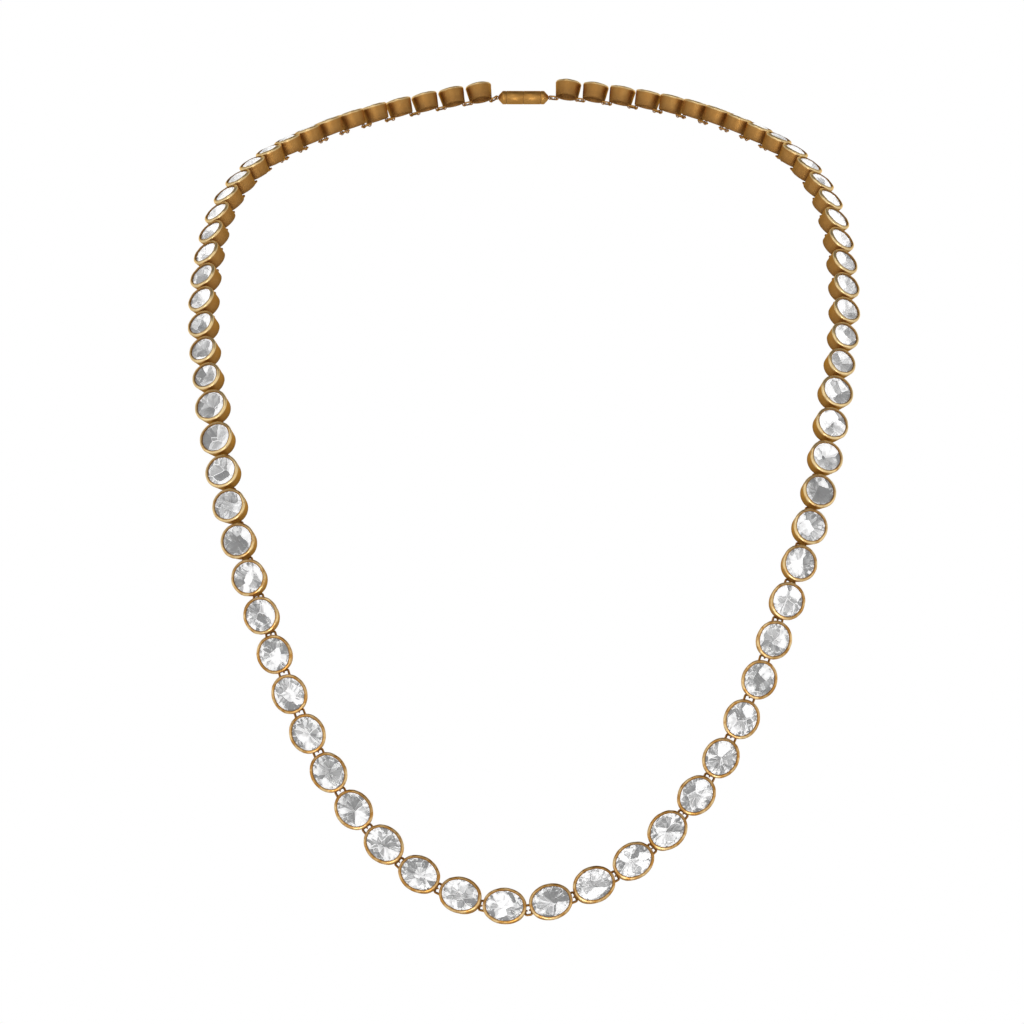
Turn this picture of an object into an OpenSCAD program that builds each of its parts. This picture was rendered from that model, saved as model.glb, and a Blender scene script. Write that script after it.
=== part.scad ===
// Necklace of round and oval cut stones, each in a deep tapered collet,
// joined by small wire links into one loop that closes with a clasp at the nape.
// Millimetres, +Z up, +X to the wearer's left, front towards -Y.
// The origin lies where the loop rests on the nape.

/* [Stones] */
// Stones in each half of the loop
stones_each_side = 37; // [36:1:37]
// Width of the flat table as a share of the stone's width
table_share = 0.58; // [0.45:0.01:0.7]
// Height of the crown above the girdle
crown_h = 0.5; // [0.3:0.05:0.6]
// Depth of the pavilion as a share of the stone's width
pavilion_share = 0.36; // [0.25:0.01:0.38]

/* [Collets] */
// Height of a collet from its rim to its back
collet_h = 3; // [2.8:0.1:3.4]
// Width of the rim that laps over the stone
rim_w = 0.6; // [0.55:0.01:0.62]
// Thickness of the tapered wall
wall = 0.34; // [0.3:0.01:0.36]
// Inward slope of the wall, as a share of the collet's half-width
taper_share = 0.13; // [0.1:0.01:0.16]

/* [Links] */
// Wire of the largest links, at the front
front_wire = 0.44; // [0.36:0.01:0.45]
// Wire of the smallest links, at the nape
back_wire = 0.32; // [0.28:0.01:0.32]
// Distance between the two sides of a link
link_w = 1.75; // [1.7:0.05:2]
// Metal round the hole of a link eye
eye_rim = 0.18; // [0.16:0.01:0.18]
// Free space all round the wire in an eye
play = 0.1; // [0.09:0.01:0.1]

/* [Clasp] */
// Length of the clasp's barrel
clasp_l = 9.6; // [9.2:0.1:10]
// Diameter of the clasp's barrel
clasp_d = 2.6; // [2.2:0.1:3]

/* [Hang] */
// How much higher the side at +X hangs than the other side
side_rise = 2.6; // [0:0.1:4]
// How far the front centre hangs towards +X
front_shift = 0.6; // [0:0.1:1]

/* [Hidden] */
$fn = 48;

// Where the rims of one half lie, from the front centre to the nape, and which
// way the stones face there.
// Columns: out, back, up, then the face's direction out, back, up
path = [
    [0,    -102.7, -148.9,  0.00, -0.98, 0.21],
    [18.6, -99,    -142.6,  0.05, -0.97, 0.22],
    [30.4, -95.4,  -131.2,  0.10, -0.96, 0.26],
    [38.9, -92.7,  -117.5,  0.19, -0.94, 0.28],
    [47.4, -89.8,  -96.3,   0.28, -0.90, 0.33],
    [53.4, -83.9,  -76.8,   0.35, -0.84, 0.41],
    [57,   -75.4,  -59,     0.41, -0.76, 0.51],
    [59.5, -64.7,  -43.3,   0.50, -0.65, 0.58],
    [59.2, -52.3,  -29.4,   0.59, -0.50, 0.64],
    [56.2, -39,    -18,     0.55, -0.37, 0.75],
    [51.6, -30.2,  -11.6,   0.42, -0.26, 0.86],
    [40,   -16.5,  -3.9,    0.32, -0.04, 0.94],
    [22,   -3.4,   1.8,     0.17, 0.13,  0.97],
    [0,    1.4,    4.5,     0.00, 0.30,  0.95]
];

// Visible size of the stones, counted from the front centre.
// Columns: place, length along the loop, width across it
stone_sizes = [
    [1,  6.7,  5.4],
    [4,  6.7,  5.4],
    [7,  6.2,  5.3],
    [12, 5.5,  5.3],
    [13, 5.2,  5.2],
    [16, 5.2,  5.2],
    [17, 4.4,  4.4],
    [22, 4.4,  4.4],
    [27, 4.1,  4.1],
    [37, 3.8,  3.8]
];

// Heights below the rim of the collet's edge, of the lip and of the girdle's groove
edge_z = -0.36;
lip_z = -0.2;
groove_top_z = -0.3;
groove_low_z = -0.66;
seat_z = -0.86;
// Depth of the groove under the lip, and how far the girdle reaches into it
groove = 0.2;
girdle_reach = 0.08;
girdle_z = -0.44;
girdle_t = 0.1;
// Distance of an eye's hole below the collet's foot, and thickness of an eye
eye_seat = 0.1;
eye_t = 0.26;
// Bend radius at a link's corners
corner = 0.3;
// Steps to which a link's length and a collet's half-length and half-width are rounded
link_step = 0.02;
collet_step = 0.01;
// Room between the clasp's barrel and the collets beside it, on each side
clasp_room = 1.3;
// Length of the barrel's tapered ends, radius of their flats, and distance of its
// eyes' holes from them
clasp_bevel = 0.8;
clasp_flat = 0.4;
clasp_seat = 0.12;
// Difference of length and width below which a collet is round
round_limit = 0.06;
// Length over which the one-sided hang grows in at the front and out at the nape,
// and over which the shift of the front centre fades
sway_front = 14;
sway_nape = 40;
shift_run = 28;

function sum(v, n) = n < 0 ? 0 : v[n] + sum(v, n - 1);
function unit(v) = v / norm(v);
function mix(a, b, t) = a * (1 - t) + b * t;
function smooth(x) = 1 - 2 / (exp(2 * x) + 1);
function stepped(x, step) = round(x / step) * step;

// The curve through the rows of the path, a cubic between two rows whose slopes
// come from the rows on both sides; beyond its ends the path is mirrored
steps = 12;
last_row = len(path) - 1;
function mirrored(row) = [-row[0], row[1], row[2], -row[3], row[4], row[5]];
function row(k) = k < 0 ? mirrored(path[-k]) :
    k > last_row ? mirrored(path[2 * last_row - k]) : path[k];
function place(row) = [row[0], row[1], row[2]];
function reach(k) = norm(place(row(k + 1)) - place(row(k)));
function slope(k) = let (h0 = reach(k - 1), h1 = reach(k))
    ((row(k) - row(k - 1)) * h1 / h0 + (row(k + 1) - row(k)) * h0 / h1) / (h0 + h1);
function cubic(k, t) = let (h = reach(k))
    row(k) * (1 + 2 * t) * (1 - t) * (1 - t) + slope(k) * h * t * (1 - t) * (1 - t)
    + row(k + 1) * t * t * (3 - 2 * t) - slope(k + 1) * h * t * t * (1 - t);
curve = [for (k = [0:last_row - 1]) for (j = [0:steps - 1]) cubic(k, j / steps), path[last_row]];
pieces = [for (i = [1:len(curve) - 1]) norm(place(curve[i]) - place(curve[i - 1]))];
runs = [for (i = 0, s = 0; i < len(curve); s = s + (i < len(pieces) ? pieces[i] : 0), i = i + 1) s];
half_length = runs[len(runs) - 1];
columns = [for (c = [0:5]) [for (i = [0:len(curve) - 1]) [runs[i], curve[i][c]]]];

// A point of the whole loop and the face's direction there, at a distance from
// the front centre that is negative on the -X side
function side(s) = s < 0 ? -1 : 1;
function at(c, s) = lookup(abs(s), columns[c]);
function sway(s) = side_rise / 2 * smooth(s / sway_front) * smooth((half_length - abs(s)) / sway_nape);
function shift(s) = front_shift * (1 - pow(smooth(s / shift_run), 2));
function point(s) = [side(s) * at(0, s) + shift(s), at(1, s), at(2, s) + sway(s)];
function facing(s) = [side(s) * at(3, s), at(4, s), at(5, s)];
function heading(s) = abs(s) > half_length - 1 ? [-1, 0, 0] : unit(point(s + 1) - point(s - 1));

// A frame: its origin, its X along the loop, its Y across and its Z out of the stone
function frame(o, x, n) = let (z = unit(n - (n * x) * x)) [o, x, cross(z, x), z];
function frame_at(s) = frame(point(s), heading(s), facing(s));
function in_frame(f, v) = f[0] + f[1] * v[0] + f[2] * v[1] + f[3] * v[2];
module in_place(f) {
    multmatrix([for (r = [0:2]) [f[1][r], f[2][r], f[3][r], f[0][r]]]) children();
}

// Outer half-length and half-width of each collet, and its place along the loop
places = [for (k = [1:stones_each_side]) k];
function visible(k, c) = let (v = [for (r = stone_sizes) [r[0], r[c]]]) lookup(k, v);
half_l = [for (k = places) stepped(visible(k, 1) / 2 + rim_w, collet_step)];
half_w = [for (k = places) stepped(visible(k, 2) / 2 + rim_w, collet_step)];
metal = 2 * sum(half_l, stones_each_side - 1);
gap = (half_length - clasp_l / 2 - clasp_room - metal) / stones_each_side;
function collet_s(k) = 2 * sum(half_l, k - 2) + half_l[k - 1] + gap * (k - 0.5);
frames = [for (s = [-1, 1]) [for (k = places) frame_at(s * collet_s(k))]];
function collet_frame(s, k) = frames[s < 0 ? 0 : 1][k - 1];
nape = frame_at(half_length);

// How far a collet's wall slopes in, the wire of its links, and its eyes' middles,
// which lie under the wall's foot
function taper(k) = taper_share * half_w[k - 1];
front_w = half_w[0];
back_w = half_w[stones_each_side - 1];
function wire(k) = mix(back_wire, front_wire, (half_w[k - 1] - back_w) / (front_w - back_w));
function eye_r(w) = w / 2 + play;
function eye_out(k) = half_l[k - 1] - taper(k) - wall / 2;
function eye_z(w) = -collet_h - eye_seat - eye_r(w);
clasp_frame = [nape[0] + nape[3] * eye_z(back_wire), nape[1], nape[2], nape[3]];

// An oval of four arcs that meet on the slope of a 3, 4, 5 triangle: the middles
// of its end and side arcs, their radii and the slope's angle.
// A round has one radius and its middle at the origin.
arc_turn = atan2(4, 3);
function oval(a, b) = a - b < round_limit ? [0, 0, a, a, arc_turn] :
    [1.5 * (a - b), 2 * (a - b), (3 * b - a) / 2, 2 * a - b, arc_turn];
function quarter(o, d, t) = t < o[4] ? [o[0] + (o[2] + d) * cos(t), (o[2] + d) * sin(t)] :
    [(o[3] + d) * cos(t), (o[3] + d) * sin(t) - o[1]];
function oval_point(o, d, t) = let (u = t % 360)
    u <= 90 ? quarter(o, d, u) :
    u <= 180 ? let (p = quarter(o, d, 180 - u)) [-p[0], p[1]] :
    u <= 270 ? let (p = quarter(o, d, u - 180)) [-p[0], -p[1]] :
    let (p = quarter(o, d, 360 - u)) [p[0], -p[1]];

// The wall's section, measured inwards from the collet's outer edge
module wall_section(r, t) {
    polygon([
        [r, edge_z], [r - 0.14, -0.06], [r - rim_w / 2, 0], [r - rim_w, -0.05],
        [r - rim_w, lip_z], [r - rim_w + groove, groove_top_z], [r - rim_w + groove, groove_low_z],
        [r - rim_w, seat_z], [r - t - wall, -collet_h], [r - t, -collet_h]
    ]);
}

// A collet's wall: a ring, or the arcs of an oval that meet end to end
module collet_wall(k) {
    o = oval(half_l[k - 1], half_w[k - 1]);
    t = taper(k);
    if (o[0] == 0) {
        rotate_extrude() wall_section(o[2], t);
    } else {
        for (x = [0, 1]) for (y = [0, 1]) mirror([x, 0, 0]) mirror([0, y, 0]) {
            translate([o[0], 0, 0])
                rotate_extrude(angle = arc_turn) wall_section(o[2], t);
            translate([0, -o[1], 0]) rotate([0, 0, 90])
                rotate_extrude(angle = 90 - arc_turn) wall_section(o[3], t);
        }
    }
}

// An eye for a link: a flat ring that stands along the loop, its hole across it
module eye(w) {
    rotate([90, 0, 0]) difference() {
        cylinder(r = eye_r(w) + eye_rim, h = eye_t, center = true);
        cylinder(r = eye_r(w), h = eye_t + 1, center = true);
    }
}

module setting(k) {
    collet_wall(k);
    for (e = [-1, 1]) translate([e * eye_out(k), 0, eye_z(wire(k))]) eye(wire(k));
}

// A cut stone: an eight-sided table, stars, mains and girdle facets above the
// girdle, long mains and halves below it that meet in the culet
module stone(k) {
    o = oval(half_l[k - 1], half_w[k - 1]);
    d = girdle_reach - rim_w;
    turn = 22.5;
    width = 2 * (half_w[k - 1] + d);
    top = girdle_z + girdle_t / 2;
    low = girdle_z - girdle_t / 2;
    table_z = top + crown_h;
    culet_z = low - pavilion_share * width;
    function ring(share, z, first, step) = [for (i = [0:7 + 8 * (step == turn ? 1 : 0)])
        let (p = oval_point(o, d, first + step * i)) [p[0] * share, p[1] * share, z]];
    points = concat(
        ring(table_share, table_z, 0, 2 * turn),
        ring(mix(1, table_share, 0.42), mix(top, table_z, 0.58), turn, 2 * turn),
        ring(1, top, 0, turn),
        ring(1, low, 0, turn),
        ring(0.24, mix(culet_z, low, 0.22), turn, 2 * turn),
        [[0, 0, culet_z]]);
    table = 0;
    mid = 8;
    upper = 16;
    lower = 32;
    deep = 48;
    culet = 56;
    faces = concat(
        [[for (i = [7:-1:0]) table + i]],
        [for (i = [0:7]) let (n = (i + 1) % 8) [table + i, table + n, mid + i]],
        [for (i = [0:7]) let (p = (i + 7) % 8) each [
            [table + i, mid + i, upper + 2 * i], [table + i, upper + 2 * i, mid + p]]],
        [for (i = [0:7]) let (n = (2 * i + 2) % 16) each [
            [mid + i, upper + 2 * i + 1, upper + 2 * i], [mid + i, upper + n, upper + 2 * i + 1]]],
        [for (i = [0:15]) let (n = (i + 1) % 16) each [
            [upper + i, upper + n, lower + n], [upper + i, lower + n, lower + i]]],
        [for (i = [0:7]) let (n = (2 * i + 2) % 16) each [
            [deep + i, lower + 2 * i, lower + 2 * i + 1], [deep + i, lower + 2 * i + 1, lower + n]]],
        [for (i = [0:7]) let (p = (i + 7) % 8) each [
            [culet, lower + 2 * i, deep + i], [culet, deep + p, lower + 2 * i]]]);
    polyhedron(points = points, faces = faces);
}

// A link: a rounded oblong of round wire whose long sides run through the two eyes
module wire_loop(l, w) {
    r = min(corner, l / 2);
    for (e = [-1, 1]) {
        translate([e * l / 2, 0, 0]) rotate([90, 0, 0])
            cylinder(d = w, h = link_w - 2 * r, center = true);
        if (l > 2 * r) translate([0, e * link_w / 2, 0]) rotate([0, 90, 0])
            cylinder(d = w, h = l - 2 * r, center = true);
        for (y = [0, 1]) mirror([0, y, 0])
            translate([e * (l / 2 - r), link_w / 2 - r, 0]) rotate([0, 0, e < 0 ? 90 : 0])
                rotate_extrude(angle = 90) translate([r, 0]) circle(d = w);
    }
}

// A link through the middles of two eyes
module link(p, q, n, w) {
    in_place(frame((p + q) / 2, unit(q - p), n))
        wire_loop(stepped(norm(q - p), link_step), w);
}

// The middles of a setting's eyes and of the clasp's
function eye_point(s, k, e) = in_frame(collet_frame(s, k), [e * eye_out(k), 0, eye_z(wire(k))]);
clasp_eye = clasp_l / 2 + clasp_seat + eye_r(back_wire);
function clasp_point(e) = in_frame(clasp_frame, [e * clasp_eye, 0, 0]);

// One half's links, from the first collet to the clasp
module links(s) {
    for (k = [1:stones_each_side - 1]) {
        near = eye_point(s, k, s);
        far = eye_point(s, k + 1, -s);
        n = collet_frame(s, k)[3] + collet_frame(s, k + 1)[3];
        link(s > 0 ? near : far, s > 0 ? far : near, n, wire(k + 1));
    }
    end = eye_point(s, stones_each_side, s);
    n = collet_frame(s, stones_each_side)[3] + nape[3];
    if (s > 0) link(end, clasp_point(-1), n, back_wire);
    else link(clasp_point(1), end, n, back_wire);
}

// One half's collets and stones
module settings(s) {
    for (k = places) in_place(collet_frame(s, k)) setting(k);
}
module stones(s) {
    for (k = places) in_place(collet_frame(s, k)) stone(k);
}

module right_settings() { color("goldenrod") settings(1); }
module left_settings() { color("goldenrod") settings(-1); }
module right_stones() { color("gainsboro") stones(1); }
module left_stones() { color("gainsboro") stones(-1); }
module right_links() {
    color("darkgoldenrod") {
        links(1);
        link(eye_point(-1, 1, 1), eye_point(1, 1, -1),
             collet_frame(-1, 1)[3] + collet_frame(1, 1)[3], front_wire);
    }
}
module left_links() { color("darkgoldenrod") links(-1); }

// A plain closed barrel with an eye at each end
module clasp() {
    r = clasp_d / 2;
    h = clasp_l / 2;
    color("goldenrod") in_place(clasp_frame) {
        rotate([0, 90, 0]) rotate_extrude() polygon([
            [0, -h], [clasp_flat, -h], [r, clasp_bevel - h],
            [r, h - clasp_bevel], [clasp_flat, h], [0, h]
        ]);
        for (e = [-1, 1]) translate([e * clasp_eye, 0, 0]) eye(back_wire);
    }
}

right_settings();
left_settings();
right_stones();
left_stones();
right_links();
left_links();
clasp();
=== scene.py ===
"""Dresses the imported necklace: gold collets, cut stones, wire links, clasp and a studio."""

import math

import bpy
import numpy as np
from bpy.props import FloatProperty, FloatVectorProperty, IntProperty, PointerProperty
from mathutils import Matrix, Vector


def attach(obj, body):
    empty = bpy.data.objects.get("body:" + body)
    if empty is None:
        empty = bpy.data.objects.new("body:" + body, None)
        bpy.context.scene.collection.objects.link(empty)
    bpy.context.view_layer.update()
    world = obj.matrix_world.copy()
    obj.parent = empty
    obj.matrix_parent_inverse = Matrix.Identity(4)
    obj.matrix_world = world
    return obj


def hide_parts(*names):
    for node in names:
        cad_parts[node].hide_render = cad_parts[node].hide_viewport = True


bl_info = {
    "name": "Collet Necklace",
    "version": (1, 0, 0),
    "blender": (4, 5, 0),
    "location": "3D View > Sidebar > Necklace",
    "description": "Finishes the collets, stones, links and clasp of a closed necklace",
    "category": "Object",
}

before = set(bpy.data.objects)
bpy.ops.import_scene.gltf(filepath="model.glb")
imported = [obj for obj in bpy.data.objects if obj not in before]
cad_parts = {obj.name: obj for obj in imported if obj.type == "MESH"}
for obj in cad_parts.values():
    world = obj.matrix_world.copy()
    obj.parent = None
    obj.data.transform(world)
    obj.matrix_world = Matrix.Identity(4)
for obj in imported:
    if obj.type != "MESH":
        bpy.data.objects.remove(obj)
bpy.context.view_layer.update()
MM = 0.001

# Sizes of the loop, in millimetres where nothing else is said

# The rims of one half, from the front centre to the nape: place out, back and up,
# then the direction of the stone's face
PATH = np.array([
    [0, -102.7, -148.9, 0, -0.98, 0.21],
    [18.6, -99, -142.6, 0.05, -0.97, 0.22],
    [30.4, -95.4, -131.2, 0.10, -0.96, 0.26],
    [38.9, -92.7, -117.5, 0.19, -0.94, 0.28],
    [47.4, -89.8, -96.3, 0.28, -0.90, 0.33],
    [53.4, -83.9, -76.8, 0.35, -0.84, 0.41],
    [57, -75.4, -59, 0.41, -0.76, 0.51],
    [59.5, -64.7, -43.3, 0.50, -0.65, 0.58],
    [59.2, -52.3, -29.4, 0.59, -0.50, 0.64],
    [56.2, -39, -18, 0.55, -0.37, 0.75],
    [51.6, -30.2, -11.6, 0.42, -0.26, 0.86],
    [40, -16.5, -3.9, 0.32, -0.04, 0.94],
    [22, -3.4, 1.8, 0.17, 0.13, 0.97],
    [0, 1.4, 4.5, 0, 0.30, 0.95],
])
CURVE_STEPS = 12
TANGENT_RUN = 1
# Stones counted from the front centre: place, length and width
STONE_SIZES = np.array([
    [1, 6.7, 5.4], [4, 6.7, 5.4], [7, 6.2, 5.3], [12, 5.5, 5.3], [13, 5.2, 5.2],
    [16, 5.2, 5.2], [17, 4.4, 4.4], [22, 4.4, 4.4], [27, 4.1, 4.1], [37, 3.8, 3.8],
])
STONES_EACH_SIDE = 37
RIM_W = 0.6
COLLET_H = 3
EDGE_Z = -0.36
TAPER_SHARE = 0.13
WALL = 0.34
FRONT_WIRE = 0.44
BACK_WIRE = 0.32
LINK_W = 1.75
LINK_CORNER = 0.3
EYE_PLAY = 0.1
EYE_RIM = 0.18
EYE_SEAT = 0.1
CLASP_L = 9.6
CLASP_D = 2.6
CLASP_ROOM = 1.3
CLASP_SEAT = 0.12
# One strand hangs higher, and the front centre lies a little to its side: how far, and
# over what run from the front and from the nape that comes and goes
SIDE_RISE = 2.6
RISE_FRONT_RUN = 14
RISE_NAPE_RUN = 40
FRONT_SHIFT = 0.6
SHIFT_RUN = 28
# The oval of four arcs: middles of its end and side arcs, as shares of length less width
END_MIDDLE = 1.5
SIDE_MIDDLE = 2
# Each item's own number, by which its finish differs: the +X side's count on from this one
SIDE_NUMBERS = 50
FRONT_LINK_NUMBER = 0
CLASP_LINK_NUMBER = 98
CLASP_NUMBER = 99
# How far the surfaces wander and how long their waves are
RIM_WAVE = 0.9
FACET_WANDER, FACET_WAVE = 0.3, 0.7
LINK_WANDER, LINK_WAVE = 0.05, 0.8
CLASP_WANDER, CLASP_WAVE = 0.04, 1.5
WAVE_SEED = 3
# What places an item: its middle and its three directions
PLACING = ("at", "along", "across", "out")


# The line of the loop and the places of its items


def mirrored(row):
    return row * [-1, 1, 1, -1, 1, 1]


def path_row(k):
    last = len(PATH) - 1
    if k < 0:
        return mirrored(PATH[-k])
    if k > last:
        return mirrored(PATH[2 * last - k])
    return PATH[k]


def reach(k):
    return np.linalg.norm((path_row(k + 1) - path_row(k))[:3])


def slope(k):
    before, after = reach(k - 1), reach(k)
    return ((path_row(k) - path_row(k - 1)) * after / before
            + (path_row(k + 1) - path_row(k)) * before / after) / (before + after)


def cubic(k, t):
    h = reach(k)
    return (path_row(k) * (1 + 2 * t) * (1 - t) ** 2 + slope(k) * h * t * (1 - t) ** 2
            + path_row(k + 1) * t * t * (3 - 2 * t) - slope(k + 1) * h * t * t * (1 - t))


CURVE = np.array([cubic(k, j / CURVE_STEPS) for k in range(len(PATH) - 1)
                  for j in range(CURVE_STEPS)] + [PATH[-1]])
RUNS = np.concatenate([[0], np.cumsum(np.linalg.norm(np.diff(CURVE[:, :3], axis=0), axis=1))])
HALF_LENGTH = RUNS[-1]


def rim_point(s):
    """A point of the rims' line at a run from the front centre, negative on the -X side."""
    out, back, up = (np.interp(abs(s), RUNS, CURVE[:, c]) for c in range(3))
    rise = (SIDE_RISE / 2 * math.tanh(s / RISE_FRONT_RUN)
            * math.tanh((HALF_LENGTH - abs(s)) / RISE_NAPE_RUN))
    shift = FRONT_SHIFT * (1 - math.tanh(s / SHIFT_RUN) ** 2)
    return np.array([math.copysign(out, s) + shift, back, up + rise])


def face_direction(s):
    out, back, up = (np.interp(abs(s), RUNS, CURVE[:, c]) for c in (3, 4, 5))
    return np.array([math.copysign(out, s), back, up])


def unit(v):
    return v / np.linalg.norm(v)


def frame_of(at, along, facing):
    out = unit(facing - facing.dot(along) * along)
    return {"at": at, "along": along, "across": np.cross(out, along), "out": out}


def frame_at(s):
    if abs(s) > HALF_LENGTH - TANGENT_RUN:
        along = np.array([-1.0, 0, 0])
    else:
        along = unit(rim_point(s + TANGENT_RUN) - rim_point(s - TANGENT_RUN))
    return frame_of(rim_point(s), along, face_direction(s))


def in_frame(f, x, y, z):
    return f["at"] + f["along"] * x + f["across"] * y + f["out"] * z


def item_number(side, k):
    return k + (side > 0) * SIDE_NUMBERS


def collet_sizes():
    """The frame and sizes of each collet, by side and place."""
    places = np.arange(1, STONES_EACH_SIDE + 1)
    half_l, half_w = (
        np.round(np.interp(places, STONE_SIZES[:, 0], STONE_SIZES[:, c]) / 2 + RIM_W, 2)
        for c in (1, 2))
    gap = (HALF_LENGTH - CLASP_L / 2 - CLASP_ROOM - 2 * half_l.sum()) / STONES_EACH_SIDE
    collets = {}
    for side in (-1, 1):
        for k in places:
            a, b = half_l[k - 1], half_w[k - 1]
            run = 2 * half_l[:k - 1].sum() + a + gap * (k - 0.5)
            taper = TAPER_SHARE * b
            wire = np.interp(b, [half_w[-1], half_w[0]], [BACK_WIRE, FRONT_WIRE])
            collets[side, k] = dict(
                frame_at(side * run), half_length=a, half_width=b, taper=taper, wire=wire,
                eye_radius=wire / 2 + EYE_PLAY, eye_out=a - taper - WALL / 2,
                number=item_number(side, k))
    return collets


COLLETS = collet_sizes()
NAPE = frame_at(HALF_LENGTH)
CLASP_EYE = BACK_WIRE / 2 + EYE_PLAY
CLASP = dict(NAPE, at=in_frame(NAPE, 0, 0, -COLLET_H - EYE_SEAT - CLASP_EYE), number=CLASP_NUMBER,
             eye_radius=CLASP_EYE, eye_out=CLASP_L / 2 + CLASP_SEAT + CLASP_EYE)


def collet_eye(side, k, end):
    c = COLLETS[side, k]
    return in_frame(c, end * c["eye_out"], 0, -COLLET_H - EYE_SEAT - c["eye_radius"])


def clasp_eye(end):
    return in_frame(CLASP, end * CLASP["eye_out"], 0, 0)


def link_between(p, q, facing, wire, number):
    """A link through the middles of two eyes."""
    return dict(frame_of((p + q) / 2, unit(q - p), facing), length=np.linalg.norm(q - p),
                wire=wire, number=number)


def links_of(side):
    """One side's links, from the front up, and on the +X side the front centre's at the end."""
    made = []
    for k in range(1, STONES_EACH_SIDE):
        ends = [collet_eye(side, k, side), collet_eye(side, k + 1, -side)][::side]
        facing = COLLETS[side, k]["out"] + COLLETS[side, k + 1]["out"]
        wire = COLLETS[side, k + 1]["wire"]
        made.append(link_between(*ends, facing, wire, item_number(side, k)))
    ends = [collet_eye(side, STONES_EACH_SIDE, side), clasp_eye(-side)][::side]
    facing = COLLETS[side, STONES_EACH_SIDE]["out"] + NAPE["out"]
    made.append(link_between(*ends, facing, BACK_WIRE, CLASP_LINK_NUMBER))
    if side > 0:
        ends = [collet_eye(-1, 1, 1), collet_eye(1, 1, -1)]
        facing = COLLETS[-1, 1]["out"] + COLLETS[1, 1]["out"]
        made.append(link_between(*ends, facing, FRONT_WIRE, FRONT_LINK_NUMBER))
    return made


# Node trees written as expressions


class Value:
    """A node's output that takes part in sums with numbers and other values."""

    def __init__(self, graph, socket):
        self.graph = graph
        self.socket = socket

    def __add__(self, other):
        return self.graph.math("ADD", self, other)

    __radd__ = __add__

    def __sub__(self, other):
        return self.graph.math("SUBTRACT", self, other)

    def __rsub__(self, other):
        return self.graph.math("SUBTRACT", other, self)

    def __mul__(self, other):
        return self.graph.math("MULTIPLY", self, other)

    __rmul__ = __mul__


class Graph:
    """A material's, world's or geometry's nodes."""

    def __init__(self, tree):
        self.tree = tree
        tree.nodes.clear()

    def node(self, kind, settings=None, values=None, output=0):
        """A node of a kind, its settings made first, then the values or links of its sockets."""
        made = self.tree.nodes.new(kind)
        for name, value in (settings or {}).items():
            if name == "stops":
                ramp = made.color_ramp.elements
                while len(ramp) < len(value):
                    ramp.new(1)
                for stop, (place, colour) in zip(ramp, value):
                    stop.position = place
                    stop.color = (*colour, 1)
            else:
                setattr(made, name, value)
        for name, value in (values or {}).items():
            self.feed(made.inputs[name], value)
        return Value(self, made.outputs[output]) if len(made.outputs) else made

    def feed(self, socket, value):
        if isinstance(value, Value):
            self.tree.links.new(value.socket, socket)
        elif socket.type == "RGBA" and len(value) == 3:
            socket.default_value = (*value, 1)
        else:
            socket.default_value = value

    def math(self, operation, first, second):
        return self.node("ShaderNodeMath", {"operation": operation}, {0: first, 1: second})

    def clamped(self, value):
        return self.node("ShaderNodeClamp", None, {0: value})

    def mix(self, share, first, second):
        """A blend of two colours."""
        return self.node("ShaderNodeMix", {"data_type": "RGBA"}, {0: share, 6: first, 7: second}, 2)

    def vector(self, operation, first, second):
        slot = "Scale" if operation == "SCALE" else 1
        return self.node("ShaderNodeVectorMath", {"operation": operation}, {0: first, slot: second})

    def part(self, vector, axis):
        """One number out of a vector or a colour."""
        return self.node("ShaderNodeSeparateXYZ", None, {0: vector}, axis)

    def carried(self, name, output="Fac"):
        """What the mesh carries under a name."""
        return self.node("ShaderNodeAttribute", {"attribute_name": name}, None, output)

    def cells(self, spot, scale):
        """Straight-sided cells: each one's random colour and its middle."""
        made = self.node("ShaderNodeTexVoronoi", None, {"Vector": spot, "Scale": scale})
        return {name: Value(self, made.socket.node.outputs[name]) for name in ("Color", "Position")}

    def edges(self, spot, scale):
        """Distance to the sides of the same cells."""
        return self.node("ShaderNodeTexVoronoi", {"feature": "DISTANCE_TO_EDGE"},
                         {"Vector": spot, "Scale": scale}, "Distance")


# Forms whose sizes follow each item


def write(mesh, name, kind, values, domain="POINT"):
    slot = "vector" if kind == "FLOAT_VECTOR" else "value"
    mesh.attributes.new(name, kind, domain).data.foreach_set(slot, values.ravel())


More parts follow.
